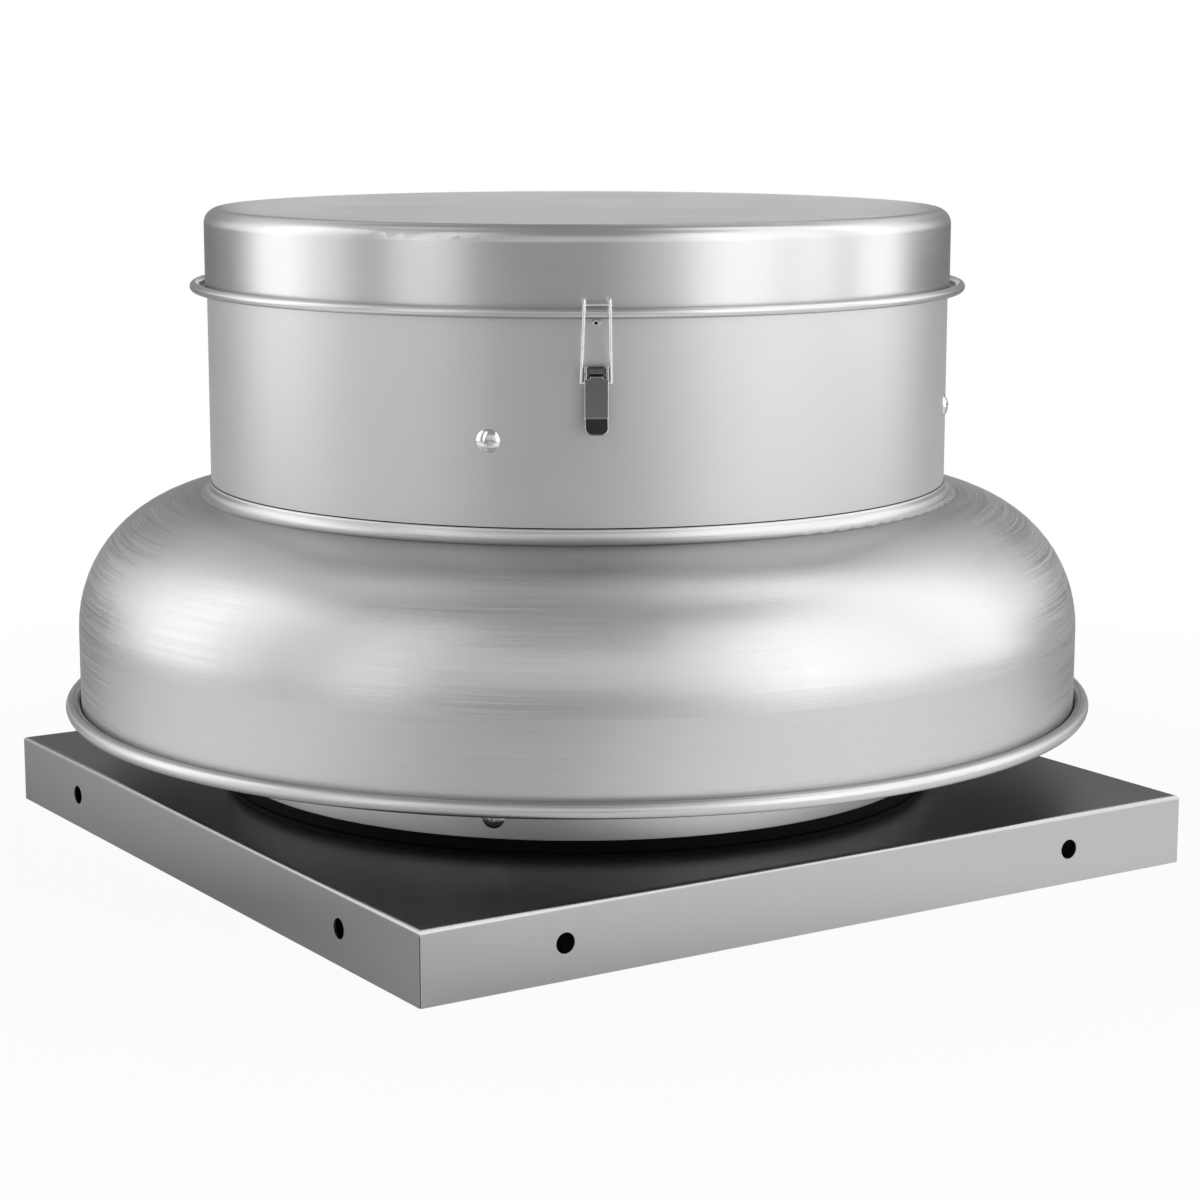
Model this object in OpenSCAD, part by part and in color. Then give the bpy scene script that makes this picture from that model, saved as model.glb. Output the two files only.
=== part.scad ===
// Roof exhaust fan, centrifugal downblast type, with a direct-drive wheel.
// Origin at the centre of the curb cap's lower edge, +Z up, millimetres.
// The skirts of the curb cap face +X, -X, +Y and -Y.

/* [Curb cap] */
// Outside width of the square curb cap
cap_side = 635; // [620:1:700]
// Height of the folded skirt
cap_h = 50; // [42:1:80]
// Sheet thickness of the curb cap
cap_t = 1.5; // [1:0.1:3]
// Outside radius of the fold between top and skirt
cap_fold_r = 3; // [2.5:0.5:6]
// Radius of the air opening in the top sheet
cap_opening_r = 205; // [195:1:225]
// Diameter of the fixing holes in the skirts
cap_hole_d = 14; // [6:0.5:18]
// Distance between the two fixing holes of a skirt
cap_hole_span = 423; // [300:1:520]
// Height of the fixing holes above the lower edge
cap_hole_z = 25; // [15:0.5:30]
// Width of the open seam at each folded corner
cap_seam_w = 0.5; // [0.2:0.1:1.5]

/* [Inlet cone and collar] */
// Sheet thickness of the spun inlet cone
cone_t = 1.5; // [1:0.1:2.5]
// Radius of the throat
throat_r = 120; // [110:1:135]
// Radius of the rounded inlet below the throat
cone_round_r = 70; // [55:1:74]
// Straight length of the throat above the rounding
throat_straight = 15; // [5:1:20]
// How far the cone's flange stands out past the collar ring
cone_flange_out = 3.9; // [2:0.1:10]
// How far the collar ring stands in from the motor housing's outside
collar_inset = 8.8; // [6:0.2:12]
// Sheet thickness of the collar ring
collar_t = 1.5; // [1:0.1:2.5]
// Height of the collar ring
collar_h = 36; // [28:1:45]
// Width of the collar ring's inner flange
collar_flange_w = 27; // [24:1:32]
// Height of the black gasket under the collar ring
collar_gasket_h = 8.8; // [5:0.2:12]
// How far the gasket stands out past the collar ring
collar_gasket_proud = 0.9; // [0:0.1:2]

/* [Hood] */
// Greatest outside radius of the hood's wall
hood_r = 370; // [365:0.5:380]
// Radius of the dome's rounding
hood_dome_r = 96.6; // [90:0.2:98]
// Height where the rounding starts above the straight wall
hood_wall_top_z = 167.2; // [160:0.2:175]
// Sheet thickness of the hood
hood_t = 1.5; // [1:0.1:2]
// Radius of the cove between dome and neck
hood_cove_r = 8; // [5:0.5:10]
// Height of the rolled rim's centre
hood_rim_z = 109.7; // [95:0.1:120]
// Radius of the rolled rim's section
hood_rim_r = 4.6; // [3:0.1:5]
// Open gap between the wall and the rolled rim
hood_rim_gap = 2; // [1.5:0.1:6]
// Width of the neck's inner flange
hood_flange_w = 33; // [30:1:40]

/* [Motor housing] */
// Outside radius of the motor housing
housing_r = 271.4; // [268:0.2:274]
// Sheet thickness of the motor housing
housing_t = 1.2; // [0.8:0.1:2]
// Height of the motor housing
housing_h = 184.4; // [175:0.1:190]
// Width of the flange turned in at its top
housing_flange_w = 27; // [24:1:35]
// Height of the screws above the housing's lower edge
housing_screw_up = 57.2; // [45:0.1:65]

/* [Lid] */
// Gap between the lid's wall and the housing
lid_gap = 0.5; // [0.4:0.1:1.5]
// Sheet thickness of the lid
lid_t = 0.8; // [0.8:0.1:1.5]
// Outside radius of the lid's top edge
lid_edge_r = 11; // [8:0.5:14]
// Height of the lid from the rolled bead's centre to its top
lid_h = 56.2; // [54:0.2:62]
// Radius of the rolled bead's section
lid_bead_r = 2.8; // [2:0.1:4]
// Open gap between the wall and the rolled bead
lid_bead_gap = 5.5; // [4:0.1:7]
// Gap between the gasket and the underside of the lid
lid_rest_gap = 0.3; // [0.2:0.1:1]
// Width of the sponge gasket under the lid
lid_gasket_w = 13; // [8:1:16]

/* [Legs and screws] */
// Width of a support leg
leg_w = 30; // [24:1:36]
// Thickness of a support leg
leg_t = 3; // [2:0.5:4]
// How far a leg reaches above the housing screws
leg_above = 18; // [14:1:25]
// Height of the collar screws above the collar's lower edge
collar_screw_up = 15; // [12:0.5:18]
// Radius of a screw's shank
screw_r = 3; // [2.5:0.1:4]
// Radius of a domed screw head
screw_head_r = 8; // [6.5:0.1:9]
// Height of a domed screw head
screw_head_h = 3.2; // [2:0.1:4.5]
// Gap around a screw in its hole
screw_play = 0.3; // [0.2:0.1:0.6]

/* [Wheel] */
// Radius of the wheel
wheel_r = 200; // [185:1:215]
// Gap between the cone's throat and the wheel's inlet lip
wheel_inlet_gap = 4.5; // [3:0.1:8]
// Radius of the shroud's rounding
shroud_round_r = 34; // [26:1:38]
// Height of the inlet lip below the rounding
shroud_lip_h = 12; // [6:1:12]
// Sheet thickness of shroud, blades and backplate
wheel_t = 2; // [1.5:0.1:3]
// Height of the shroud's rounding above the throat
shroud_up = -1; // [-3:0.5:2]
// Height of the air channel at the wheel's edge
wheel_outlet_h = 68; // [55:1:72]
// Number of blades
blade_count = 9; // [6:1:10]
// Distance from the inlet lip to the inner end of the blades
blade_inset = 10; // [7:1:18]
// Radius of a blade's curve
blade_curve_r = 150; // [120:5:220]
// Radius of the hub
hub_r = 28; // [22:1:34]
// Height of the hub above the backplate
hub_h = 30; // [24:1:31]

/* [Motor] */
// Radius of the motor's frame without its ribs
motor_r = 84; // [80:1:90]
// Length of the ribbed frame
motor_frame_h = 80; // [70:1:85]
// Thickness of the frame's wall
motor_wall = 6; // [5:0.5:8]
// Height of the cooling ribs
rib_h = 8; // [5:0.5:10]
// Width of the cooling ribs
rib_w = 2.5; // [2:0.1:4]
// Height of each end bell
bell_h = 20; // [18:1:22]
// Radius of the motor's shaft
shaft_r = 10; // [8:0.5:12]
// Running clearance around the shaft
shaft_play = 0.05; // [0.02:0.01:0.1]
// Outside radius of the ball bearings
bearing_r = 23.5; // [20:0.5:26]
// Width of the ball bearings
bearing_w = 14; // [12:1:15]
// Air gap between rotor and stator
air_gap = 0.6; // [0.4:0.1:1]
// Thickness of the motor deck
deck_t = 2; // [1.5:0.5:3]
// Height of the rubber isolators
isolator_h = 15; // [10:1:18]
// Side of the square motor plate
motor_plate_side = 200; // [184:2:220]
// Thickness of the motor plate
motor_plate_t = 3; // [2:0.5:5]

/* [Latches] */
// Number of latches
latch_count = 3; // [2:1:3]
// Width of a latch lever
lever_w = 15.5; // [14:0.1:18]
// Sheet thickness of a lever
lever_t = 1.2; // [0.8:0.1:1.5]
// Length of the lever below its pivot to the bend
lever_len = 31; // [26:0.5:36]
// Length of the finger tab below the bend
tab_len = 12; // [10:0.5:14]
// Angle of the finger tab away from the lever
tab_angle = 30; // [15:1:40]
// Radius of the wire of a bail
wire_r = 1.2; // [0.9:0.05:1.3]
// Distance of the lever's pivot from the housing
pivot_out = 5.2; // [4.8:0.1:6]
// Height of the lever's pivot below the lid's bead
pivot_down = 37.4; // [35:0.1:42]
// Distance of the bail's pivot below the lever's pivot
bail_pivot_down = 8; // [7:0.1:9]
// Distance of the bail's pivot inward of the lever's pivot
bail_pivot_in = 2.3; // [2:0.1:2.6]
// Radius of a latch pin
pin_r = 1.5; // [1.2:0.1:1.8]
// Running clearance of pins and wire ends
pin_play = 0.05; // [0.02:0.01:0.1]

/* [Hidden] */
$fn = 64;

// A cut that runs clear of both faces
over = 1;
// Heights of the stack, from the curb cap upward
cone_top = cap_h + cone_t;
collar_r = housing_r - collar_inset;
cone_flange_r = collar_r + cone_flange_out;
collar_z = cone_top + collar_gasket_h;
collar_foot_top = collar_z + collar_t;
collar_screw_z = collar_z + collar_screw_up;
throat_z = cap_h + cone_round_r;
throat_top = throat_z + throat_straight;
hood_dome_c = hood_r - hood_dome_r;
hood_neck_r = housing_r + 1.1;
cove_c = hood_neck_r + hood_cove_r;
cove_run = max(cove_c - hood_dome_c, 0);
cove_z = hood_wall_top_z + sqrt(pow(hood_dome_r, 2) - pow(cove_run, 2)) + hood_cove_r;
neck_bend_r = hood_t + 0.6;
hood_top = cove_z + neck_bend_r;
hood_flange_in = hood_neck_r - neck_bend_r - hood_flange_w + 0.6;
housing_z = hood_top;
housing_top = housing_z + housing_h;
housing_in = housing_r - housing_t;
housing_screw_z = housing_z + housing_screw_up;
// The lid's wall, bead and top
lid_in = housing_r + lid_gap;
lid_r = lid_in + lid_t;
lid_gasket_h = 12.4;
lid_top = housing_top + lid_gasket_h + lid_rest_gap + lid_t;
lid_bead_z = lid_top - lid_h;
lid_bead_c = lid_r + lid_bead_gap + lid_bead_r;
lid_foot = lid_bead_z - lid_bead_r + 0.3;
// Legs stand inside the collar ring, one at each corner of the curb cap
leg_angles = [225, 315, 45, 135];
leg_out = sqrt(pow(collar_r - collar_t - 0.05, 2) - pow(leg_w / 2, 2));
leg_in = leg_out - leg_t;
leg_top = housing_screw_z + leg_above;
bolt_count = 8;
collar_bolt_r = collar_r - collar_t - collar_flange_w / 2;
deck_bolt_r = hood_flange_in + 13;
nut_h = 4.8;
nut_r = 5.6;
washer_h = 1;
// Motor and wheel heights
deck_top = housing_z + deck_t;
deck_rim_h = 15;
plate_z = deck_top + isolator_h;
bell_z = plate_z + motor_plate_t;
frame_z = bell_z + bell_h;
rear_z = frame_z + motor_frame_h;
motor_top = rear_z + bell_h;
bell_floor = 5;
core_r = motor_r - motor_wall;
core_inset = 10;
core_h = motor_frame_h - 2 * core_inset;
core_z = frame_z + core_inset;
rotor_r = core_r * 0.62;
isolator_at = motor_plate_side / 2 - 16;
wheel_inlet_r = throat_r + cone_t + wheel_inlet_gap;
blade_inner_r = wheel_inlet_r + blade_inset;
shroud_z = throat_top + shroud_up;
shroud_c = wheel_inlet_r + shroud_round_r;
shroud_flat = shroud_z + shroud_round_r;
backplate_z = shroud_flat + wheel_outlet_h;
hub_z = backplate_z + wheel_t;
hub_rivet_r = hub_r + 12;
hub_foot_w = 20;
hub_foot_r = hub_r + hub_foot_w;
hub_foot_t = 5;
// Latches: the first lies at this angle, and the rest follow evenly
latch_angle = 240;
latch_step = 360 / latch_count;
pivot_d = housing_r + pivot_out;
pivot_z = lid_bead_z - pivot_down;
bail_d = pivot_d - bail_pivot_in;
bail_z = pivot_z - bail_pivot_down;
lever_face_d = pivot_d + 2.1;
lever_top_z = pivot_z - 5;
bail_low_y = lever_w / 2 + 2;
bail_top_y = lever_w / 2 + 0.6;
bail_clear = 0.2;
hook_in_d = lid_bead_c - 1.6;
hook_z = lid_bead_z + lid_bead_r + wire_r + 1.6;
// The bail's sides lean out so that they pass the lid's bead
bead_in = lid_bead_c - bail_d;
bead_up = lid_bead_z - bail_z;
bail_lean = atan2(bead_in, bead_up)
    + asin((lid_bead_r + wire_r + bail_clear) / norm([bead_in, bead_up]));
hook_out_d = bail_d + (hook_z - bail_z) * tan(bail_lean);
hook_rise = 3;
base_w = lever_w - 2 * lever_t - 0.6;
knuckle_w = base_w - 3.2;
knuckle_r = 3;
tongue_w = knuckle_w - 0.7;

// Quarter of a flat ring about a corner, in the quadrant that qx and qz name
module bend(cx, cz, r_in, r_out, qx, qz) {
    translate([cx, cz]) intersection() {
        difference() {
            circle(r_out);
            circle(r_in);
        }
        translate([qx > 0 ? 0 : -r_out - over, qz > 0 ? 0 : -r_out - over])
            square(r_out + over);
    }
}

// Quarter of a disc about a corner, in the quadrant that qx and qz name
module corner(cx, cz, r, qx, qz) {
    translate([cx, cz]) intersection() {
        circle(r);
        translate([qx > 0 ? 0 : -r - over, qz > 0 ? 0 : -r - over]) square(r + over);
    }
}

// Rectangle from its low and high corners
module area(x0, z0, x1, z1) {
    translate([x0, z0]) square([x1 - x0, z1 - z0]);
}

// Flat ring with a true bore
module ring(r_out, r_in, z, h) {
    translate([0, 0, z]) difference() {
        cylinder(r = r_out, h = h);
        translate([0, 0, -over]) cylinder(r = r_in, h = h + 2 * over);
    }
}

// Places its children at a distance and height, once for each angle
module around(angles, d, z) {
    for (a = angles) rotate([0, 0, a]) translate([d, 0, z]) children();
}

// Points its children's +Z outward along +X
module outward() {
    rotate([0, 90, 0]) children();
}

// Screw with a domed cross-recess head above z = 0 and its shank below
module dome_screw(shank_len) {
    ball_r = (pow(screw_head_r, 2) + pow(screw_head_h, 2)) / (2 * screw_head_h);
    difference() {
        intersection() {
            translate([0, 0, screw_head_h - ball_r]) sphere(ball_r);
            cylinder(r = screw_head_r + over, h = screw_head_h + over);
        }
        translate([0, 0, screw_head_h - recess_depth]) cross_recess();
    }
    translate([0, 0, -shank_len]) cylinder(r = screw_r, h = shank_len);
}

// Cross recess above z = 0, with a cone for the driver's point
module cross_recess() {
    for (a = [25, 115]) rotate([0, 0, a]) translate([-recess_l / 2, -recess_w / 2, 0])
        cube([recess_l, recess_w, recess_depth + over]);
    cylinder(r1 = recess_w * 0.7, r2 = recess_w * 1.5, h = recess_depth + 0.2);
}
recess_l = 5.4;
recess_w = 1.2;
recess_depth = 1.9;

// Hexagon nut above z = 0 with a bore for its screw
module nut() {
    difference() {
        cylinder(r = nut_r, h = nut_h, $fn = 6);
        translate([0, 0, -over]) cylinder(r = screw_r, h = nut_h + 2 * over);
    }
}

// Hexagon bolt through a stack from z = low to z = high, with a nut below
module through_bolt(low, high) {
    translate([0, 0, high]) cylinder(r = nut_r, h = nut_h, $fn = 6);
    translate([0, 0, low - nut_h - over]) cylinder(r = screw_r, h = high - low + nut_h + over);
    translate([0, 0, low - nut_h]) cylinder(r = nut_r, h = nut_h, $fn = 6);
}

// Bolt holes through a stack on a circle
module bolt_holes(r, z, h) {
    around(bolt_angles(), r, z - over) cylinder(r = screw_r + screw_play, h = h + 2 * over);
}
function bolt_angles() = [for (i = [0:bolt_count - 1]) (i + 0.5) * 360 / bolt_count];

// Section of the folded cap: a rectangle with two rounded upper corners
module cap_section(side, top, r) {
    area(-side / 2, -over, side / 2, top - r);
    area(r - side / 2, -over, side / 2 - r, top);
    for (s = [-1, 1]) corner(s * (side / 2 - r), top - r, r, s, 1);
}

// Solid pan made where the sections seen from two sides cross
module pan(side, top, r) {
    intersection() {
        rotate([90, 0, 0]) linear_extrude(side + 2 * over, center = true) cap_section(side, top, r);
        rotate([90, 0, 90]) linear_extrude(side + 2 * over, center = true) cap_section(side, top, r);
        translate([-side, -side, 0]) cube([2 * side, 2 * side, top + over]);
    }
}

module curb_cap() {
    color("silver") difference() {
        pan(cap_side, cap_h, cap_fold_r);
        translate([0, 0, -over]) pan(cap_side - 2 * cap_t, cap_h - cap_t + over, cap_fold_r - cap_t);
        translate([0, 0, cap_h - cap_t - over]) cylinder(r = cap_opening_r, h = cap_t + 2 * over);
        bolt_holes(collar_bolt_r, cap_h - cap_t, cap_t);
        for (a = [0:90:270], s = [-1, 1])
            rotate([0, 0, a]) translate([cap_side / 2 - cap_t - over, s * cap_hole_span / 2, cap_hole_z])
                outward() cylinder(d = cap_hole_d, h = cap_t + 2 * over);
        for (a = leg_angles)
            rotate([0, 0, a]) translate([cap_side / sqrt(2) - 8, -cap_seam_w / 2, -over])
                cube([10, cap_seam_w, cap_h - cap_fold_r - 1 + over]);
    }
}

module inlet_cone() {
    c = throat_r + cone_round_r;
    color("gainsboro") difference() {
        rotate_extrude() {
            bend(c, throat_z, cone_round_r - cone_t, cone_round_r, -1, -1);
            area(throat_r, throat_z, throat_r + cone_t, throat_top);
            area(c, cap_h, cone_flange_r, cone_top);
        }
        bolt_holes(collar_bolt_r, cap_h, cone_t);
    }
}

module collar_gasket() {
    color("black") difference() {
        ring(collar_r + collar_gasket_proud, collar_r - collar_flange_w, cone_top, collar_gasket_h);
        bolt_holes(collar_bolt_r, cone_top, collar_gasket_h);
    }
}

module collar_ring() {
    color("silver") difference() {
        union() {
            ring(collar_r, collar_r - collar_t, collar_z, collar_h);
            ring(collar_r - collar_t / 2, collar_r - collar_flange_w, collar_z, collar_t);
        }
        bolt_holes(collar_bolt_r, collar_z, collar_t);
        around(leg_angles, leg_out, collar_screw_z) outward()
            cylinder(r = screw_r + screw_play, h = collar_t + 3);
    }
}

module collar_bolts() {
    color("gray") around(bolt_angles(), collar_bolt_r, 0)
        through_bolt(cap_h - cap_t, collar_foot_top);
}

module support_leg(i) {
    color("darkgray") rotate([0, 0, leg_angles[i]]) difference() {
        translate([leg_in, -leg_w / 2, collar_foot_top])
            cube([leg_t, leg_w, leg_top - collar_foot_top]);
        for (z = [collar_screw_z, housing_screw_z, bracket_z])
            translate([leg_in - over, 0, z]) outward()
                cylinder(r = screw_r + screw_play, h = leg_t + 2 * over);
    }
}

module collar_screws() {
    color("lightgray") around(leg_angles, collar_r, collar_screw_z) outward()
        dome_screw(collar_r - leg_in + nut_h + over);
}

module collar_screw_nuts() {
    color("gray") around(leg_angles, leg_in, collar_screw_z) rotate([0, -90, 0]) nut();
}

// Outline of the hood's sheet from the neck flange to the rolled rim
module hood_section() {
    foot = hood_rim_z - hood_rim_r + 0.4;
    turn = hood_t + 1;
    area(hood_flange_in, hood_top - hood_t, hood_neck_r - neck_bend_r, hood_top);
    bend(hood_neck_r - neck_bend_r, cove_z, neck_bend_r - hood_t, neck_bend_r, 1, 1);
    bend(cove_c, cove_z, hood_cove_r, hood_cove_r + hood_t, -1, -1);
    intersection() {
        bend(hood_dome_c, hood_wall_top_z, hood_dome_r - hood_t, hood_dome_r, 1, 1);
        area(cove_c - 0.2, hood_wall_top_z, hood_r + over, hood_top);
    }
    if (hood_dome_c > cove_c)
        area(cove_c, cove_z - hood_cove_r - hood_t, hood_dome_c, cove_z - hood_cove_r);
    area(hood_r - hood_t, foot + turn, hood_r, hood_wall_top_z);
    bend(hood_r - hood_t + turn, foot + turn, turn - hood_t, turn, -1, -1);
    area(hood_r - hood_t + turn, foot, hood_rim_c, foot + hood_t);
    translate([hood_rim_c, hood_rim_z]) circle(hood_rim_r);
}
hood_rim_c = hood_r + hood_rim_gap + hood_rim_r;

module leg_slots(z, h) {
    for (a = leg_angles) rotate([0, 0, a])
        translate([leg_in - 1, -leg_w / 2 - 1, z - over]) cube([leg_t + 2, leg_w + 2, h + 2 * over]);
}

module hood() {
    color("silver") difference() {
        rotate_extrude() hood_section();
        bolt_holes(deck_bolt_r, hood_top - hood_t, hood_t);
        leg_slots(hood_top - hood_t, hood_t);
    }
}

module motor_housing() {
    color("silver") difference() {
        union() {
            ring(housing_r, housing_in, housing_z, housing_h);
            ring(housing_r - housing_t / 2, housing_r - housing_flange_w, housing_top - housing_t, housing_t);
        }
        around(leg_angles, housing_in - over, housing_screw_z) outward()
            cylinder(r = screw_r + screw_play, h = housing_t + 2 * over);
        around(latch_angles(), housing_in - over, 0) rivet_holes(housing_t + 2 * over);
    }
}

module housing_screws() {
    color("lightgray") around(leg_angles, housing_r, housing_screw_z) outward()
        dome_screw(housing_r - leg_in + nut_h + over);
}

module housing_screw_nuts() {
    color("gray") around(leg_angles, leg_in, housing_screw_z) rotate([0, -90, 0]) nut();
}

module leg_spacers() {
    spacer_r = 7;
    end = sqrt(pow(housing_in, 2) - pow(spacer_r, 2));
    color("gray") around(leg_angles, leg_out, housing_screw_z) outward() difference() {
        cylinder(r = spacer_r, h = end - leg_out);
        translate([0, 0, -over]) cylinder(r = screw_r + screw_play, h = end - leg_out + 2 * over);
    }
}

module motor_deck() {
    rim_r = housing_in - 1.2;
    color("lightgray") difference() {
        union() {
            translate([0, 0, housing_z]) cylinder(r = rim_r, h = deck_t);
            ring(rim_r, rim_r - deck_t, housing_z, deck_t + deck_rim_h);
        }
        translate([0, 0, housing_z - over]) cylinder(r = hub_r + 8, h = deck_t + 2 * over);
        bolt_holes(deck_bolt_r, housing_z, deck_t);
        leg_slots(housing_z, deck_t);
        around(leg_angles, bracket_foot_d, housing_z - over)
            cylinder(r = screw_r + screw_play, h = deck_t + 2 * over);
        gland_place() translate([0, 0, -deck_t - over])
            cylinder(r = gland_r + 0.2, h = deck_t + 2 * over);
    }
}

module deck_bolts() {
    color("gray") around(bolt_angles(), deck_bolt_r, 0) through_bolt(hood_top - hood_t, deck_top);
}

// Angle brackets that carry the deck on the legs
bracket_l = 40;
bracket_t = 3;
bracket_bolt_up = 20;
bracket_z = deck_top + bracket_bolt_up;
bracket_hole = 10;
bracket_foot_d = leg_in - bracket_l + bracket_hole;

module deck_brackets() {
    color("darkgray") around(leg_angles, leg_in - bracket_l, deck_top) difference() {
        union() {
            translate([0, -leg_w / 2, 0]) cube([bracket_l, leg_w, bracket_t]);
            translate([bracket_l - bracket_t, -leg_w / 2, 0]) cube([bracket_t, leg_w, bracket_l]);
        }
        translate([bracket_hole, 0, -over])
            cylinder(r = screw_r + screw_play, h = bracket_t + 2 * over);
        translate([bracket_l - bracket_t - over, 0, bracket_z - deck_top]) outward()
            cylinder(r = screw_r + screw_play, h = bracket_t + 2 * over);
    }
}

module bracket_bolts() {
    color("gray") {
        around(leg_angles, bracket_foot_d, 0) through_bolt(housing_z, deck_top + bracket_t);
        around(leg_angles, 0, bracket_z) outward() through_bolt(leg_in - bracket_t, leg_out);
    }
}

// Hourglass rubber mounts between deck and motor plate
module motor_isolators() {
    foot_r = 13;
    color("dimgray") for (x = [-1, 1], y = [-1, 1])
        translate([x * isolator_at, y * isolator_at, deck_top]) rotate_extrude() difference() {
            square([foot_r, isolator_h]);
            translate([foot_r + 3, isolator_h / 2]) circle(isolator_h / 2 - 1.5);
        }
}

module motor_plate() {
    color("silver") translate([0, 0, plate_z]) difference() {
        translate([-motor_plate_side / 2, -motor_plate_side / 2, 0])
            cube([motor_plate_side, motor_plate_side, motor_plate_t]);
        translate([0, 0, -over]) cylinder(r = bearing_r + 6, h = motor_plate_t + 2 * over);
    }
}

// End bell with its bearing seat, opening upward from z = 0
module end_bell() {
    difference() {
        union() {
            cylinder(r = motor_r + 2, h = bell_h);
            for (a = leg_angles) rotate([0, 0, a]) translate([tie_at, 0, 0])
                cylinder(r = 6.5, h = bell_h);
        }
        difference() {
            translate([0, 0, bell_floor]) cylinder(r = motor_r - 4, h = bell_h);
            cylinder(r = bearing_r + 6, h = bell_floor + bearing_w);
        }
        translate([0, 0, bell_floor]) cylinder(r = bearing_r, h = bell_h);
        translate([0, 0, -over]) cylinder(r = shaft_r + 2, h = bell_floor + 2 * over);
        for (a = leg_angles) rotate([0, 0, a]) translate([tie_at, 0, -over])
            cylinder(r = tie_r + 0.2, h = bell_h + 2 * over);
    }
}
tie_r = 2;
tie_at = motor_r + 7;

module drive_end_bell() {
    color("slategray") translate([0, 0, bell_z]) end_bell();
}

module rear_end_bell() {
    color("slategray") translate([0, 0, motor_top]) mirror([0, 0, 1]) end_bell();
}

// Ribbed frame: ribs all round, apart from the tie bolts and the terminal box
rib_step = 15;
box_angle = 0;
function has_rib(a) = (a % 90) != 45 && min(abs(a - box_angle), abs(a - box_angle - 360)) > rib_step;

module stator_frame() {
    color("slategray") translate([0, 0, frame_z]) linear_extrude(motor_frame_h) difference() {
        union() {
            circle(motor_r);
            for (a = [0:rib_step:359]) if (has_rib(a)) rotate(a)
                translate([motor_r - 1, -rib_w / 2]) square([rib_h + 1, rib_w]);
        }
        circle(core_r);
    }
}

module stator_core() {
    color("dimgray") ring(core_r, rotor_r + air_gap, core_z, core_h);
}

module stator_windings() {
    overhang = 12;
    color("peru") for (z = [core_z - overhang, core_z + core_h])
        ring(core_r - 6, rotor_r + air_gap + 5, z, overhang);
}

module motor_tie_bolts() {
    head_r = 4;
    head_h = 3;
    color("gray") around(leg_angles, tie_at, bell_z) {
        cylinder(r = tie_r, h = motor_top - bell_z + head_h);
        translate([0, 0, motor_top - bell_z]) cylinder(r = head_r, h = head_h, $fn = 6);
    }
}

// Terminal box on the side of the frame, open outward
box_w = 60;
box_d = 38;
box_h = 56;
box_z = frame_z + 12;
box_wall = 2;
gland_r = 8;

module terminal_box() {
    color("slategray") translate([motor_r, 0, box_z]) difference() {
        translate([0, -box_w / 2, 0]) cube([box_d, box_w, box_h]);
        translate([box_wall, -box_w / 2 + box_wall, box_wall])
            cube([box_d, box_w - 2 * box_wall, box_h - 2 * box_wall]);
        translate([box_d / 2, 0, -over]) cylinder(r = gland_r + 0.2, h = box_wall + 2 * over);
    }
}

module terminal_box_cover() {
    color("darkslategray") translate([motor_r + box_d, -box_w / 2 - 1, box_z - 1])
        cube([box_wall, box_w + 2, box_h + 2]);
}

// Cable gland with its seat at z = 0, threaded end below and cap above
gland_thread_h = 8;
gland_hex_h = 5;
gland_cap_h = 9;
gland_bore_r = 4.5;
gland_d = 185;

module gland() {
    difference() {
        union() {
            translate([0, 0, -gland_thread_h]) cylinder(r = gland_r, h = gland_thread_h);
            cylinder(r = gland_r + 4, h = gland_hex_h, $fn = 6);
            translate([0, 0, gland_hex_h]) cylinder(r = gland_r + 1.5, h = gland_cap_h);
        }
        translate([0, 0, -gland_thread_h - over])
            cylinder(r = gland_bore_r, h = gland_thread_h + gland_hex_h + gland_cap_h + 2 * over);
    }
}

module gland_place() {
    rotate([0, 0, 20]) translate([gland_d, 0, deck_top]) children();
}

module cable_glands() {
    color("black") {
        gland_place() gland();
        translate([motor_r + box_d / 2, 0, box_z]) mirror([0, 0, 1]) gland();
    }
}

cap_can_r = 19;
cap_can_at = 150;
clamp_t = 1.5;
clamp_base_t = 2;
clamp_band_h = 30;
clamp_foot_w = 24;
clamp_foot_l = 22;

module capacitor() {
    can_h = 92;
    color("lightgray") translate([0, cap_can_at, deck_top + clamp_base_t]) {
        cylinder(r = cap_can_r, h = can_h);
        for (s = [-1, 1]) translate([s * 7 - 3, -0.5, can_h]) cube([6, 1, 8]);
    }
}

// Strap clamp on a foot that stands on the deck
module capacitor_clamp() {
    color("gray") translate([0, cap_can_at, deck_top]) {
        cylinder(r = cap_can_r + clamp_t, h = clamp_base_t);
        ring(cap_can_r + clamp_t, cap_can_r, clamp_base_t, clamp_band_h);
        translate([-clamp_foot_w / 2, cap_can_r, 0]) cube([clamp_foot_w, clamp_foot_l, clamp_base_t]);
    }
}

// Ball bearing: two races with a row of balls between them
module ball_bearing() {
    ball_r = 3.4;
    pitch_r = (bearing_r + shaft_r) / 2 + 0.5;
    difference() {
        union() {
            ring(bearing_r, pitch_r + 2, 0, bearing_w);
            ring(pitch_r - 2, shaft_r + shaft_play, 0, bearing_w);
        }
        rotate_extrude() translate([pitch_r, bearing_w / 2]) circle(ball_r);
    }
    for (a = [0:45:315]) rotate([0, 0, a]) translate([pitch_r, 0, bearing_w / 2]) sphere(ball_r - 0.05);
}

module lower_bearing() {
    color("lightsteelblue") translate([0, 0, bell_z + bell_floor]) ball_bearing();
}

module upper_bearing() {
    color("lightsteelblue") translate([0, 0, motor_top - bell_floor - bearing_w]) ball_bearing();
}

module motor_shaft() {
    low = backplate_z - 8;
    color("lightgray") translate([0, 0, low]) cylinder(r = shaft_r, h = motor_top - 4 - low);
}

module rotor_core() {
    color("dimgray") ring(rotor_r, shaft_r, core_z, core_h);
}

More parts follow.
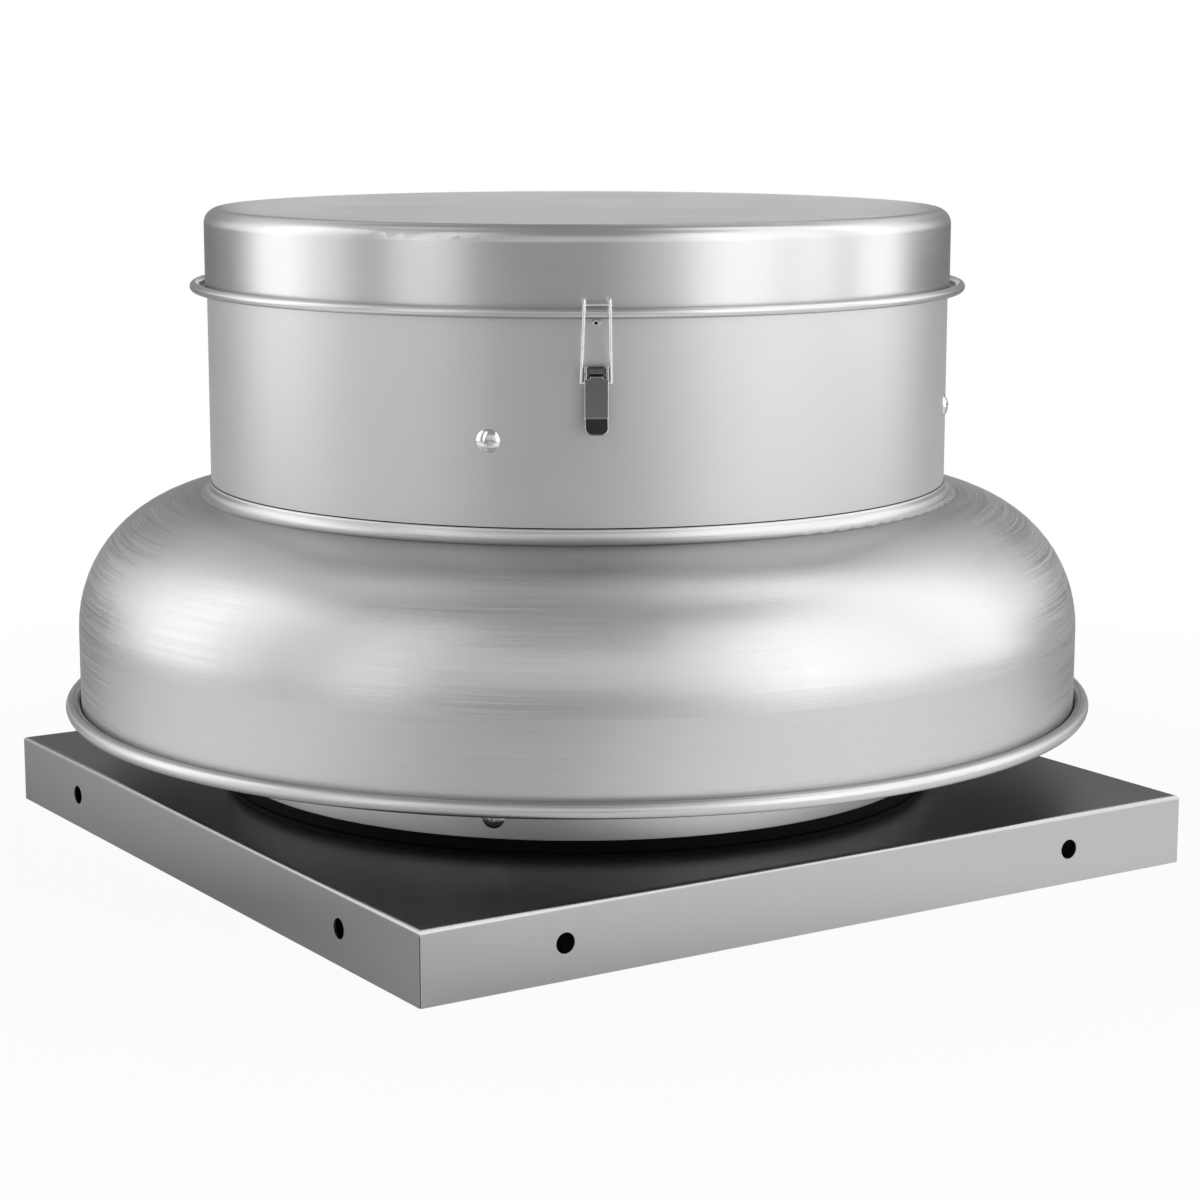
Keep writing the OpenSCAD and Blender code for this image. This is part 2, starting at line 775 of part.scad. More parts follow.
module wheel_hub() {
    color("darkgray") difference() {
        union() {
            translate([0, 0, hub_z]) cylinder(r = hub_r, h = hub_h);
            translate([0, 0, hub_z]) cylinder(r = hub_foot_r, h = hub_foot_t);
        }
        translate([0, 0, hub_z - over]) cylinder(r = shaft_r, h = hub_h + 2 * over);
        around(rivet_angles, hub_rivet_r, hub_z - over) cylinder(r = 3, h = hub_foot_t + 2 * over);
        around([0, 90], 0, hub_z + set_screw_up) outward() cylinder(r = screw_r, h = hub_r + over);
    }
}
rivet_angles = [30:60:330];
set_screw_up = 18;

module wheel_backplate() {
    color("silver") difference() {
        ring(wheel_r, shaft_r + 1, backplate_z, wheel_t);
        around(rivet_angles, hub_rivet_r, backplate_z - over) cylinder(r = 3, h = wheel_t + 2 * over);
    }
}

// Backward-curved blades, cut to the space between shroud and backplate
module wheel_blades() {
    lean = 52;
    color("silver") for (i = [0:blade_count - 1]) rotate([0, 0, i * 360 / blade_count]) intersection() {
        rotate_extrude() difference() {
            area(blade_inner_r, shroud_z, wheel_r - 2, backplate_z);
            translate([shroud_c, shroud_z]) circle(shroud_round_r);
            area(shroud_c, shroud_z - over, wheel_r, shroud_flat);
        }
        translate([blade_inner_r, 0, shroud_z]) rotate([0, 0, lean]) linear_extrude(backplate_z - shroud_z)
            translate([0, -blade_curve_r]) intersection() {
                difference() {
                    circle(blade_curve_r);
                    circle(blade_curve_r - wheel_t);
                }
                translate([-20, 0]) square([blade_curve_r, blade_curve_r + over]);
            }
    }
}

module wheel_shroud() {
    color("silver") rotate_extrude() {
        area(wheel_inlet_r, shroud_z - shroud_lip_h, wheel_inlet_r + wheel_t, shroud_z);
        bend(shroud_c, shroud_z, shroud_round_r - wheel_t, shroud_round_r, -1, 1);
        area(shroud_c, shroud_flat - wheel_t, wheel_r, shroud_flat);
    }
}

module hub_rivets() {
    color("lightgray") around(rivet_angles, hub_rivet_r, backplate_z) {
        cylinder(r = 3, h = wheel_t + hub_foot_t);
        translate([0, 0, -1.5]) cylinder(r = 5, h = 1.5);
        translate([0, 0, wheel_t + hub_foot_t]) cylinder(r = 5, h = 2);
    }
}

module hub_set_screws() {
    color("black") around([0, 90], shaft_r, hub_z + set_screw_up) outward()
        cylinder(r = screw_r, h = hub_r - shaft_r - 2);
}

module lid_gasket() {
    inner = housing_r - housing_flange_w + 1;
    color("dimgray") ring(inner + lid_gasket_w, inner, housing_top, lid_gasket_h);
}

module lid() {
    turn = lid_t + 1.6;
    color("gainsboro") rotate_extrude() {
        area(0, lid_top - lid_t, lid_r - lid_edge_r, lid_top);
        bend(lid_r - lid_edge_r, lid_top - lid_edge_r, lid_edge_r - lid_t, lid_edge_r, 1, 1);
        area(lid_in, lid_foot + turn, lid_r, lid_top - lid_edge_r);
        bend(lid_in + turn, lid_foot + turn, turn - lid_t, turn, -1, -1);
        area(lid_in + turn, lid_foot, lid_bead_c, lid_foot + lid_t);
        translate([lid_bead_c, lid_bead_z]) circle(lid_bead_r);
    }
}

function latch_angles() = [for (i = [0:latch_count - 1]) latch_angle + i * latch_step];

// Rivets of a latch: two hold its base and one the upper end of the backing plate
rivet_r = 1.6;
rivet_head_r = 3.1;
rivet_head_h = 1.4;
base_rivet_low = 26;
base_rivet_high = 12;
top_rivet_down = 6.7;
base_rivets_z = [pivot_z - base_rivet_low, pivot_z - base_rivet_high];
top_rivet_z = lid_bead_z - top_rivet_down;
plate_t = 2;
plate_w = 20;
plate_end = 8;

module rivet_holes(h) {
    for (z = concat(base_rivets_z, [top_rivet_z])) translate([0, 0, z]) outward()
        cylinder(r = rivet_r, h = h);
}

// Base plate with a rolled knuckle for the lever's pin
module latch_base(i) {
    base_t = 1.2;
    low = base_rivets_z[0] - 5;
    color("gray") rotate([0, 0, latch_angles()[i]]) difference() {
        union() {
            translate([housing_r, -base_w / 2, low]) cube([base_t, base_w, pivot_z - 6 - low]);
            translate([housing_r, -knuckle_w / 2, pivot_z - 7]) cube([base_t, knuckle_w, 7]);
            translate([housing_r, -knuckle_w / 2, pivot_z - knuckle_r]) cube([pivot_out, knuckle_w, base_t]);
            translate([pivot_d, 0, pivot_z]) rotate([90, 0, 0])
                cylinder(r = knuckle_r, h = knuckle_w, center = true);
        }
        translate([pivot_d, 0, pivot_z]) rotate([90, 0, 0])
            cylinder(r = pin_r, h = knuckle_w + 2 * over, center = true);
        translate([housing_r - over, 0, 0]) rivet_holes(base_t + 2 * over);
    }
}

// Lever: a channel with its sides towards the housing and a finger tab below
module latch_lever(i) {
    half = lever_w / 2;
    cheek_low = bail_z - 4;
    cheek_in = bail_d - wire_r - 0.9;
    color("gray") rotate([0, 0, latch_angles()[i]]) difference() {
        union() {
            translate([lever_face_d, -half, pivot_z - lever_len])
                cube([lever_t, lever_w, lever_top_z - pivot_z + lever_len]);
            translate([lever_face_d, -tongue_w / 2, lever_top_z - over])
                cube([lever_t, tongue_w, pivot_z - knuckle_r - 0.5 - lever_top_z + over]);
            for (s = [-1, 1]) translate([0, s * (half - lever_t / 2), 0]) lever_cheek(cheek_in, cheek_low);
            translate([lever_face_d + 0.2, 0, pivot_z - lever_len]) rotate([0, -tab_angle, 0])
                finger_tab();
        }
        translate([pivot_d, 0, pivot_z]) rotate([90, 0, 0])
            cylinder(r = pin_r + pin_play, h = lever_w + 2 * over, center = true);
        translate([bail_d, 0, bail_z]) rotate([90, 0, 0])
            cylinder(r = wire_r + pin_play, h = lever_w + 2 * over, center = true);
    }
}

// Side of the lever: an ear around the two pivots and a rail down to the bend
module lever_cheek(inner, low) {
    rail = lever_face_d - 1.8;
    edge = lever_face_d + lever_t / 2;
    foot = pivot_z - lever_len + 2;
    rotate([90, 0, 0]) linear_extrude(lever_t, center = true)
        polygon([[inner, low], [rail, low - 4], [rail, foot + 2], [edge, foot], [edge, lever_top_z + 5],
            [pivot_d + 1.4, pivot_z + 3.4], [pivot_d - 2, pivot_z + 3.4], [inner, pivot_z - 1]]);
}

// Finger tab with a round end, hanging down from z = 0
module finger_tab() {
    end_r = 5;
    half = lever_w / 2 - 0.3;
    rotate([90, 0, 90]) linear_extrude(lever_t) {
        area(-half, end_r - tab_len, half, 0.3);
        area(end_r - half, -tab_len, half - end_r, 0);
        for (s = [-1, 1]) corner(s * (half - end_r), end_r - tab_len, end_r, s, -1);
    }
}

// Straight wire between two points
module wire(a, b) {
    v = b - a;
    len = norm(v);
    translate(a) rotate([0, acos(v[2] / len), atan2(v[1], v[0])]) cylinder(r = wire_r, h = len);
}

// Wire bail: its ends turn in the lever's ears and its bar hooks over the lid's bead
module bail_side() {
    end_y = lever_w / 2 - lever_t - 0.6;
    points = [[bail_d, -end_y, bail_z], [bail_d, -bail_low_y, bail_z], [hook_out_d, -bail_top_y, hook_z],
        [(hook_out_d + hook_in_d) / 2, -bail_top_y, hook_z + hook_rise], [hook_in_d, -bail_top_y, hook_z]];
    for (k = [0:len(points) - 2]) wire(points[k], points[k + 1]);
    for (k = [1:len(points) - 1]) translate(points[k]) sphere(wire_r * 1.03);
}

module latch_bail(i) {
    color("lightgray") rotate([0, 0, latch_angles()[i]]) {
        bail_side();
        mirror([0, 1, 0]) bail_side();
        wire([hook_in_d, -bail_top_y, hook_z], [hook_in_d, bail_top_y, hook_z]);
    }
}

// The pins' peened ends stand out of the levers by this much
pin_end = 0.2;

module latch_pins() {
    color("darkgray") around(latch_angles(), pivot_d, pivot_z) rotate([90, 0, 0])
        cylinder(r = pin_r, h = lever_w + 2 * pin_end, center = true);
}

// Blind rivets with their swaged tails behind the backing plate
module latch_rivets() {
    tail = housing_in - 0.2 - plate_t;
    color("lightgray") for (a = latch_angles()) rotate([0, 0, a]) {
        for (z = base_rivets_z) translate([0, 0, z]) rivet(housing_r + 1.2, tail);
        translate([0, 0, top_rivet_z]) rivet(housing_r, tail);
    }
}

module rivet(face, tail) {
    outward() {
        translate([0, 0, tail - 1.5]) cylinder(r = rivet_r, h = face - tail + 1.5);
        translate([0, 0, tail - 1.5]) cylinder(r = rivet_r + 0.8, h = 1.5);
        difference() {
            translate([0, 0, face]) cylinder(r1 = rivet_head_r, r2 = rivet_head_r - 0.8, h = rivet_head_h);
            translate([0, 0, face + 0.3]) cylinder(r = 1, h = rivet_head_h);
        }
    }
}

module latch_backing_plates() {
    low = base_rivets_z[0] - plate_end;
    out = sqrt(pow(housing_in, 2) - pow(plate_w / 2, 2));
    color("darkgray") for (a = latch_angles()) rotate([0, 0, a]) difference() {
        translate([out - plate_t, -plate_w / 2, low])
            cube([plate_t, plate_w, top_rivet_z + plate_end - low]);
        translate([out - plate_t - over, 0, 0]) rivet_holes(plate_t + 2 * over);
    }
}

curb_cap();
inlet_cone();
collar_gasket();
collar_ring();
collar_bolts();
support_leg(0);  // support_leg_1
support_leg(1);  // support_leg_2
support_leg(2);  // support_leg_3
support_leg(3);  // support_leg_4
collar_screws();
collar_screw_nuts();
hood();
motor_housing();
housing_screws();
housing_screw_nuts();
leg_spacers();
motor_deck();
deck_bolts();
deck_brackets();
bracket_bolts();
motor_isolators();
motor_plate();
drive_end_bell();
stator_frame();
stator_core();
stator_windings();
rear_end_bell();
motor_tie_bolts();
terminal_box();
terminal_box_cover();
cable_glands();
capacitor();
capacitor_clamp();
lower_bearing();
upper_bearing();
motor_shaft();
rotor_core();
wheel_hub();
wheel_backplate();
wheel_blades();
wheel_shroud();
hub_rivets();
hub_set_screws();
lid_gasket();
lid();
latch_base(0);  // latch_base_1
latch_base(1);  // latch_base_2
latch_base(2);  // latch_base_3
latch_lever(0);  // latch_lever_1
latch_lever(1);  // latch_lever_2
latch_lever(2);  // latch_lever_3
latch_bail(0);  // latch_bail_1
latch_bail(1);  // latch_bail_2
latch_bail(2);  // latch_bail_3
latch_pins();
latch_rivets();
latch_backing_plates();
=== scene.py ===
"""Studio scene of a roof exhaust fan: folded cap, spun hood and housing, lid with wire latches."""

import math

import bpy
from mathutils import Matrix, Vector


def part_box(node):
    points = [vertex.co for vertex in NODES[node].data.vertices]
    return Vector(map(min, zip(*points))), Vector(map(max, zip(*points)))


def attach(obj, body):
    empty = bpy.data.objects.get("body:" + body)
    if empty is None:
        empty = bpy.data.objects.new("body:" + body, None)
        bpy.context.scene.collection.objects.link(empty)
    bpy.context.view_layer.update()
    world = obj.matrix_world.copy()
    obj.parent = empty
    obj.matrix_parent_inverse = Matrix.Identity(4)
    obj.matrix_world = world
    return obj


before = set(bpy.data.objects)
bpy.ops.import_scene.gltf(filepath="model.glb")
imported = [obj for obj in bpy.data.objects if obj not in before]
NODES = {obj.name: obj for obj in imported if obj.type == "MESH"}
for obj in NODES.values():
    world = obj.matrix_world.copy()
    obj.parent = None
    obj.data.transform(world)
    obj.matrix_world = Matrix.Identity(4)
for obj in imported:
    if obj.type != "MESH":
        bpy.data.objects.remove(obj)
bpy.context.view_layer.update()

# Camera of the photograph, from the fit of its outline
CAMERA_AT = Vector((-1.17381, -1.84250, 0.57134))
CAMERA_AZIMUTH = math.radians(-32.938)
CAMERA_PITCH = math.radians(10.224)
CAMERA_ROLL = math.radians(0.058)
CAMERA_LENS = 88.53
CAMERA_SENSOR = 36.0
CAMERA_CLIP = (0.05, 100.0)


# ---- node helpers ----
def socket(group, name, kind, in_out, value=None):
    """Named input or output of a node group, with its plain value."""
    made = group.interface.new_socket(name=name, in_out=in_out, socket_type=kind)
    if value is not None:
        made.default_value = value


def feed(links, target, item):
    """Input set to a number or colour, or linked to another node's output."""
    if isinstance(item, bpy.types.NodeSocket):
        links.new(item, target)
    else:
        target.default_value = item


def math_node(nodes, links, operation, *inputs):
    """Output of a Math node; each input is a number or an output."""
    node = nodes.new("ShaderNodeMath")
    node.operation = operation
    for index, item in enumerate(inputs):
        feed(links, node.inputs[index], item)
    return node.outputs[0]


def map_range(nodes, links, value, low, high, to_low, to_high):
    """Value moved from the range low to high into the range to_low to to_high."""
    node = nodes.new("ShaderNodeMapRange")
    links.new(value, node.inputs["Value"])
    ends = (("From Min", low), ("From Max", high), ("To Min", to_low), ("To Max", to_high))
    for name, item in ends:
        feed(links, node.inputs[name], item)
    return node.outputs["Result"]


def noise(nodes, links, vector, scale, detail, roughness=0.5):
    """Noise between 0 and 1 at a point."""
    node = nodes.new("ShaderNodeTexNoise")
    links.new(vector, node.inputs["Vector"])
    feed(links, node.inputs["Scale"], scale)
    node.inputs["Detail"].default_value = detail
    node.inputs["Roughness"].default_value = roughness
    return node.outputs["Fac"]


def combine(nodes, links, x, y, z):
    """Vector of three numbers or outputs."""
    node = nodes.new("ShaderNodeCombineXYZ")
    for name, item in (("X", x), ("Y", y), ("Z", z)):
        feed(links, node.inputs[name], item)
    return node.outputs["Vector"]


def object_place(nodes):
    """Shaded point in its object's frame."""
    return nodes.new("ShaderNodeTexCoord").outputs["Object"]


def parts_of(nodes, links, vector):
    """X, Y and Z of a vector."""
    split = nodes.new("ShaderNodeSeparateXYZ")
    links.new(vector, split.inputs[0])
    return split.outputs


def from_axis(nodes, links, x, y):
    """Distance of a point from the wheel axis."""
    return math_node(nodes, links, "SQRT", math_node(
        nodes, links, "ADD",
        math_node(nodes, links, "MULTIPLY", x, x), math_node(nodes, links, "MULTIPLY", y, y)))


# ---- shared effects ----
# Slow changes of tone per metre across the turning lines
CLOUD_LINES = 60.0


def turning_lines_group():
    """Fine rings that spinning or turning leaves about the wheel axis."""
    group = bpy.data.node_groups.new("Turning lines", "ShaderNodeTree")
    socket(group, "Lines per metre", "NodeSocketFloat", "INPUT", 900.0)
    socket(group, "Sweep", "NodeSocketFloat", "INPUT", 1.5)
    socket(group, "Lines", "NodeSocketFloat", "OUTPUT")
    socket(group, "Cloud", "NodeSocketFloat", "OUTPUT")
    nodes, links = group.nodes, group.links
    given, out = nodes.new("NodeGroupInput"), nodes.new("NodeGroupOutput")
    x, y, z = parts_of(nodes, links, object_place(nodes))
    radius = from_axis(nodes, links, x, y)
    safe = math_node(nodes, links, "MAXIMUM", radius, 0.001)
    along = math_node(nodes, links, "SUBTRACT", radius, z)
    ring = math_node(nodes, links, "MULTIPLY", along, given.outputs["Lines per metre"])
    turn_x, turn_y = (
        math_node(nodes, links, "MULTIPLY", math_node(nodes, links, "DIVIDE", item, safe),
                  given.outputs["Sweep"])
        for item in (x, y))
    fine = noise(nodes, links, combine(nodes, links, turn_x, turn_y, ring),
                 scale=1.0, detail=3.0, roughness=0.6)
    slow_ring = math_node(nodes, links, "MULTIPLY", along, CLOUD_LINES)
    cloud = noise(nodes, links, combine(nodes, links, turn_x, turn_y, slow_ring),
                  scale=1.0, detail=2.0, roughness=0.5)
    links.new(fine, out.inputs["Lines"])
    links.new(cloud, out.inputs["Cloud"])
    return group


def sheet_grain_group():
    """Faint rolling grain and cloudy patches of mill-finish sheet."""
    group = bpy.data.node_groups.new("Sheet grain", "ShaderNodeTree")
    socket(group, "Grain scale", "NodeSocketFloat", "INPUT", 900.0)
    socket(group, "Stretch", "NodeSocketFloat", "INPUT", 12.0)
    socket(group, "Grain", "NodeSocketFloat", "OUTPUT")
    socket(group, "Cloud", "NodeSocketFloat", "OUTPUT")
    nodes, links = group.nodes, group.links
    given, out = nodes.new("NodeGroupInput"), nodes.new("NodeGroupOutput")
    place = object_place(nodes)
    x, y, z = parts_of(nodes, links, place)
    scale = given.outputs["Grain scale"]
    short = math_node(nodes, links, "DIVIDE", scale, given.outputs["Stretch"])
    stretched = combine(nodes, links,
                        math_node(nodes, links, "MULTIPLY", x, short),
                        math_node(nodes, links, "MULTIPLY", y, short),
                        math_node(nodes, links, "MULTIPLY", z, scale))
    grain = noise(nodes, links, stretched, scale=1.0, detail=2.0)
    cloud = noise(nodes, links, place, scale=9.0, detail=4.0, roughness=0.55)
    links.new(grain, out.inputs["Grain"])
    links.new(cloud, out.inputs["Cloud"])
    return group


def handling_marks_group():
    """Small soft smudges that change the sheen here and there."""
    group = bpy.data.node_groups.new("Handling marks", "ShaderNodeTree")
    socket(group, "Mark scale", "NodeSocketFloat", "INPUT", 40.0)
    socket(group, "Marks", "NodeSocketFloat", "OUTPUT")
    nodes, links = group.nodes, group.links
    given, out = nodes.new("NodeGroupInput"), nodes.new("NodeGroupOutput")
    spots = noise(nodes, links, object_place(nodes), given.outputs["Mark scale"], detail=5.0)
    marks = map_range(nodes, links, spots, 0.45, 0.75, 0.0, 1.0)
    links.new(marks, out.inputs["Marks"])
    return group


def light_pool_group():
    """Round pool of light on the floor, soft between its inner and outer radius."""
    group = bpy.data.node_groups.new("Light pool", "ShaderNodeTree")
    socket(group, "Centre", "NodeSocketVector", "INPUT")
    socket(group, "Inner", "NodeSocketFloat", "INPUT", 0.2)
    socket(group, "Outer", "NodeSocketFloat", "INPUT", 0.8)
    socket(group, "Level", "NodeSocketFloat", "INPUT", 0.5)
    socket(group, "Pool", "NodeSocketFloat", "OUTPUT")
    nodes, links = group.nodes, group.links
    given, out = nodes.new("NodeGroupInput"), nodes.new("NodeGroupOutput")
    away = nodes.new("ShaderNodeVectorMath")
    away.operation = "DISTANCE"
    links.new(object_place(nodes), away.inputs[0])
    links.new(given.outputs["Centre"], away.inputs[1])
    pool = map_range(nodes, links, away.outputs["Value"],
                     given.outputs["Outer"], given.outputs["Inner"], 0.0, given.outputs["Level"])
    links.new(pool, out.inputs["Pool"])
    return group


TURNING_LINES = turning_lines_group()
LIGHT_POOL = light_pool_group()
SHEET_GRAIN = sheet_grain_group()
HANDLING_MARKS = handling_marks_group()


def blank_material(name):
    """New material with its nodes, links and shader."""
    material = bpy.data.materials.new(name)
    material.use_nodes = True
    nodes, links = material.node_tree.nodes, material.node_tree.links
    shader = nodes["Principled BSDF"]
    return material, nodes, links, shader


def place_group(nodes, group, **values):
    """Shared effect placed in a material, with its inputs set."""
    node = nodes.new("ShaderNodeGroup")
    node.node_tree = group
    for name, value in values.items():
        node.inputs[name.replace("_", " ")].default_value = value
    return node


def tint(nodes, links, mask, first, second):
    """Colour between two by a mask; each is red, green and blue or another output."""
    mix = nodes.new("ShaderNodeMix")
    mix.data_type = "RGBA"
    links.new(mask, mix.inputs["Factor"])
    for name, item in (("A", first), ("B", second)):
        colour = item if isinstance(item, bpy.types.NodeSocket) else (*item, 1.0)
        feed(links, mix.inputs[name], colour)
    return mix.outputs["Result"]


def swung(colour, share):
    """Colour made brighter by a share, or darker by a negative one."""
    return [min(1.0, c * (1.0 + share)) for c in colour]


def bump(nodes, links, height, strength, distance):
    """Normal pressed in and out by a height."""
    node = nodes.new("ShaderNodeBump")
    links.new(height, node.inputs["Height"])
    node.inputs["Strength"].default_value = strength
    node.inputs["Distance"].default_value = distance
    return node.outputs["Normal"]


# Range in which a noise mostly lies
NOISE_LOW, NOISE_HIGH = 0.3, 0.7
# How much rougher handling marks make spun sheet and dull solids
SPUN_WEAR = 0.03
DULL_WEAR = 0.15
# How much lighter the marks on a dull solid are
SPECK = 0.25
# Painted highlight on the rims of the levers: where it starts, as the bend of the rounded edge
# starts to show, and where it is full
RIM_HIGHLIGHT_START, RIM_HIGHLIGHT_FULL = 0.98, 0.80


def spun_metal(name, colour, rough, lines, sweep, line_bump, shine_swing, shade_swing,
               anisotropy=0.55, edge=1.0):
    """Metal turned about the wheel axis and brushed along its rings; edge is its glancing shine."""
    material, nodes, links, shader = blank_material(name)
    rings = place_group(nodes, TURNING_LINES, Lines_per_metre=lines, Sweep=sweep)
    marks = place_group(nodes, HANDLING_MARKS, Mark_scale=14.0)
    shade = tint(nodes, links, rings.outputs["Lines"],
                 swung(colour, -shade_swing), swung(colour, shade_swing))
    links.new(shade, shader.inputs["Base Color"])
    shader.inputs["Metallic"].default_value = 1.0
    swing = map_range(nodes, links, rings.outputs["Lines"], NOISE_LOW, NOISE_HIGH,
                      rough - shine_swing, rough + shine_swing)
    worn = math_node(nodes, links, "MULTIPLY_ADD", marks.outputs["Marks"], SPUN_WEAR, swing)
    links.new(worn, shader.inputs["Roughness"])
    shader.inputs["Anisotropic"].default_value = anisotropy
    shader.inputs["Specular Tint"].default_value = (edge, edge, edge, 1.0)
    tangent = nodes.new("ShaderNodeTangent")
    tangent.direction_type, tangent.axis = "RADIAL", "Z"
    links.new(tangent.outputs["Tangent"], shader.inputs["Tangent"])
    links.new(bump(nodes, links, rings.outputs["Lines"], line_bump, distance=0.0002),
              shader.inputs["Normal"])
    return material


def sheet_metal(name, colour, rough, grain_scale, stretch, grain_bump, swing_by=0.04, edge=1.0):
    """Flat rolled sheet with a faint grain and cloudy sheen; edge is its glancing shine."""
    material, nodes, links, shader = blank_material(name)
    grain = place_group(nodes, SHEET_GRAIN, Grain_scale=grain_scale, Stretch=stretch)
    marks = place_group(nodes, HANDLING_MARKS, Mark_scale=22.0)
    shade = tint(nodes, links, grain.outputs["Cloud"],
                 swung(colour, -swing_by), swung(colour, swing_by))
    links.new(shade, shader.inputs["Base Color"])
    shader.inputs["Metallic"].default_value = 1.0
    shader.inputs["Specular Tint"].default_value = (edge, edge, edge, 1.0)
    swing = map_range(nodes, links, grain.outputs["Grain"], NOISE_LOW, NOISE_HIGH,
                      rough - swing_by, rough + swing_by)
    links.new(math_node(nodes, links, "MULTIPLY_ADD", marks.outputs["Marks"], swing_by, swing),
              shader.inputs["Roughness"])
    links.new(bump(nodes, links, grain.outputs["Grain"], grain_bump, distance=0.0001),
              shader.inputs["Normal"])
    return material


def small_steel(name, colour, rough, mark_scale=260.0, wear=0.12):
    """Bright or dull steel of screws, wire and pins."""
    material, nodes, links, shader = blank_material(name)
    marks = place_group(nodes, HANDLING_MARKS, Mark_scale=mark_scale)
    shade = tint(nodes, links, marks.outputs["Marks"], colour, [c * 0.85 for c in colour])
    links.new(shade, shader.inputs["Base Color"])
    shader.inputs["Metallic"].default_value = 1.0
    links.new(math_node(nodes, links, "MULTIPLY_ADD", marks.outputs["Marks"], wear, rough),
              shader.inputs["Roughness"])
    links.new(bump(nodes, links, marks.outputs["Marks"], strength=0.08, distance=0.0001),
              shader.inputs["Normal"])
    return material


def lever_steel(name, face, tab_shade, rim, rough, tab_top, rounding):
    """Pressed lever: smooth dark face, painted shade on the finger tab below tab_top, painted
    highlight on the rounded rims.
    """
    material, nodes, links, shader = blank_material(name)
    height = parts_of(nodes, links, object_place(nodes))["Z"]
    # Painted shade: below tab_top the finger tab gets a darker colour
    tab_shade_mask = map_range(nodes, links, height, tab_top - TAB_SHADE_BLEND, tab_top + TAB_SHADE_BLEND, 1.0, 0.0)
    face_with_tab_shade = tint(nodes, links, tab_shade_mask, [face] * 3, [tab_shade] * 3)
    soft_edge = nodes.new("ShaderNodeBevel")
    soft_edge.samples = 8
    soft_edge.inputs["Radius"].default_value = rounding
    geometry = nodes.new("ShaderNodeNewGeometry")
    turned = nodes.new("ShaderNodeVectorMath")
    turned.operation = "DOT_PRODUCT"
    links.new(soft_edge.outputs["Normal"], turned.inputs[0])
    links.new(geometry.outputs["True Normal"], turned.inputs[1])
    # Painted highlight: the rounded rims, found by the bevel's bent normal, get a near-white colour
    rim_highlight_mask = map_range(nodes, links, turned.outputs["Value"], RIM_HIGHLIGHT_START, RIM_HIGHLIGHT_FULL, 0.0, 1.0)
    shade = tint(nodes, links, rim_highlight_mask, face_with_tab_shade, [rim] * 3)
    links.new(shade, shader.inputs["Base Color"])
    links.new(soft_edge.outputs["Normal"], shader.inputs["Normal"])
    shader.inputs["Metallic"].default_value = 1.0
    shader.inputs["Roughness"].default_value = rough
    return material


def dull_solid(name, colour, rough, mark_scale, depth, gloss=0.5):
    """Rubber, foam, enamel and plastic: a plain colour with fine texture."""
    material, nodes, links, shader = blank_material(name)
    shader.inputs["Specular IOR Level"].default_value = gloss
    marks = place_group(nodes, HANDLING_MARKS, Mark_scale=mark_scale)
    shade = tint(nodes, links, marks.outputs["Marks"], colour, [c * (1.0 + SPECK) for c in colour])
    links.new(shade, shader.inputs["Base Color"])
    links.new(math_node(nodes, links, "MULTIPLY_ADD", marks.outputs["Marks"], DULL_WEAR, rough),
              shader.inputs["Roughness"])
    links.new(bump(nodes, links, marks.outputs["Marks"], strength=0.35, distance=depth),
              shader.inputs["Normal"])
    return material


# Finger tab at the foot of each lever, darkened with painted shade: its height and half of the
# blend into the painted shade at its top
LEVER_TAB_RISE = 0.0104
TAB_SHADE_BLEND = 0.0002
# Colour of the bare spun sheet
SHEET = (0.62, 0.62, 0.62)

hood_metal = spun_metal("spun hood sheet", SHEET, rough=0.34, lines=1400.0, sweep=2.2,
                        line_bump=0.34, shine_swing=0.07, shade_swing=0.12, edge=0.42)
housing_metal = spun_metal("satin housing sheet", SHEET, rough=0.40, lines=1100.0, sweep=1.8,
                           line_bump=0.02, shine_swing=0.01, shade_swing=0.02, edge=0.9)
lid_metal = spun_metal("spun lid sheet", SHEET, rough=0.31, lines=1100.0, sweep=1.6,
                       line_bump=0.03, shine_swing=0.015, shade_swing=0.025,
                       anisotropy=0.0, edge=0.7)
collar_metal = spun_metal("collar sheet", (0.60, 0.60, 0.60), rough=0.38, lines=900.0, sweep=1.5,
                          line_bump=0.05, shine_swing=0.02, shade_swing=0.04)
cap_metal = sheet_metal("mill cap sheet", (0.50, 0.50, 0.49), rough=0.30, grain_scale=700.0,
                        stretch=9.0, grain_bump=0.04, swing_by=0.012, edge=0.35)
zinc_metal = sheet_metal("zinc plated sheet", (0.52, 0.53, 0.54), rough=0.38, grain_scale=500.0,
                         stretch=3.0, grain_bump=0.10)
wire_metal = small_steel("bright latch wire", (0.86, 0.86, 0.86), rough=0.09, wear=0.04)
# rim is the colour of the painted highlight on the lever rims
lever_metal = lever_steel("lever steel with painted tab shade and rim highlights", face=0.36, tab_shade=0.09, rim=0.95, rough=0.12,
                          tab_top=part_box("latch_lever_1")[0][2] + LEVER_TAB_RISE, rounding=0.0008)
latch_metal = small_steel("dark latch steel", (0.16, 0.16, 0.16), rough=0.18, wear=0.08)
screw_metal = small_steel("bright screw steel", (0.80, 0.80, 0.80), rough=0.13,
                          mark_scale=200.0, wear=0.10)
rivet_metal = small_steel("bright rivet shell", (0.96, 0.96, 0.96), rough=0.24, wear=0.05)
bolt_metal = small_steel("zinc bolt steel", (0.55, 0.56, 0.57), rough=0.32)
shaft_metal = small_steel("ground shaft steel", (0.66, 0.66, 0.66), rough=0.22)
iron_skin = dull_solid("dull iron", (0.08, 0.08, 0.085), rough=0.55,
                       mark_scale=120.0, depth=0.0004)
enamel_skin = dull_solid("grey motor enamel", (0.045, 0.050, 0.055), rough=0.36,
                         mark_scale=160.0, depth=0.0002)
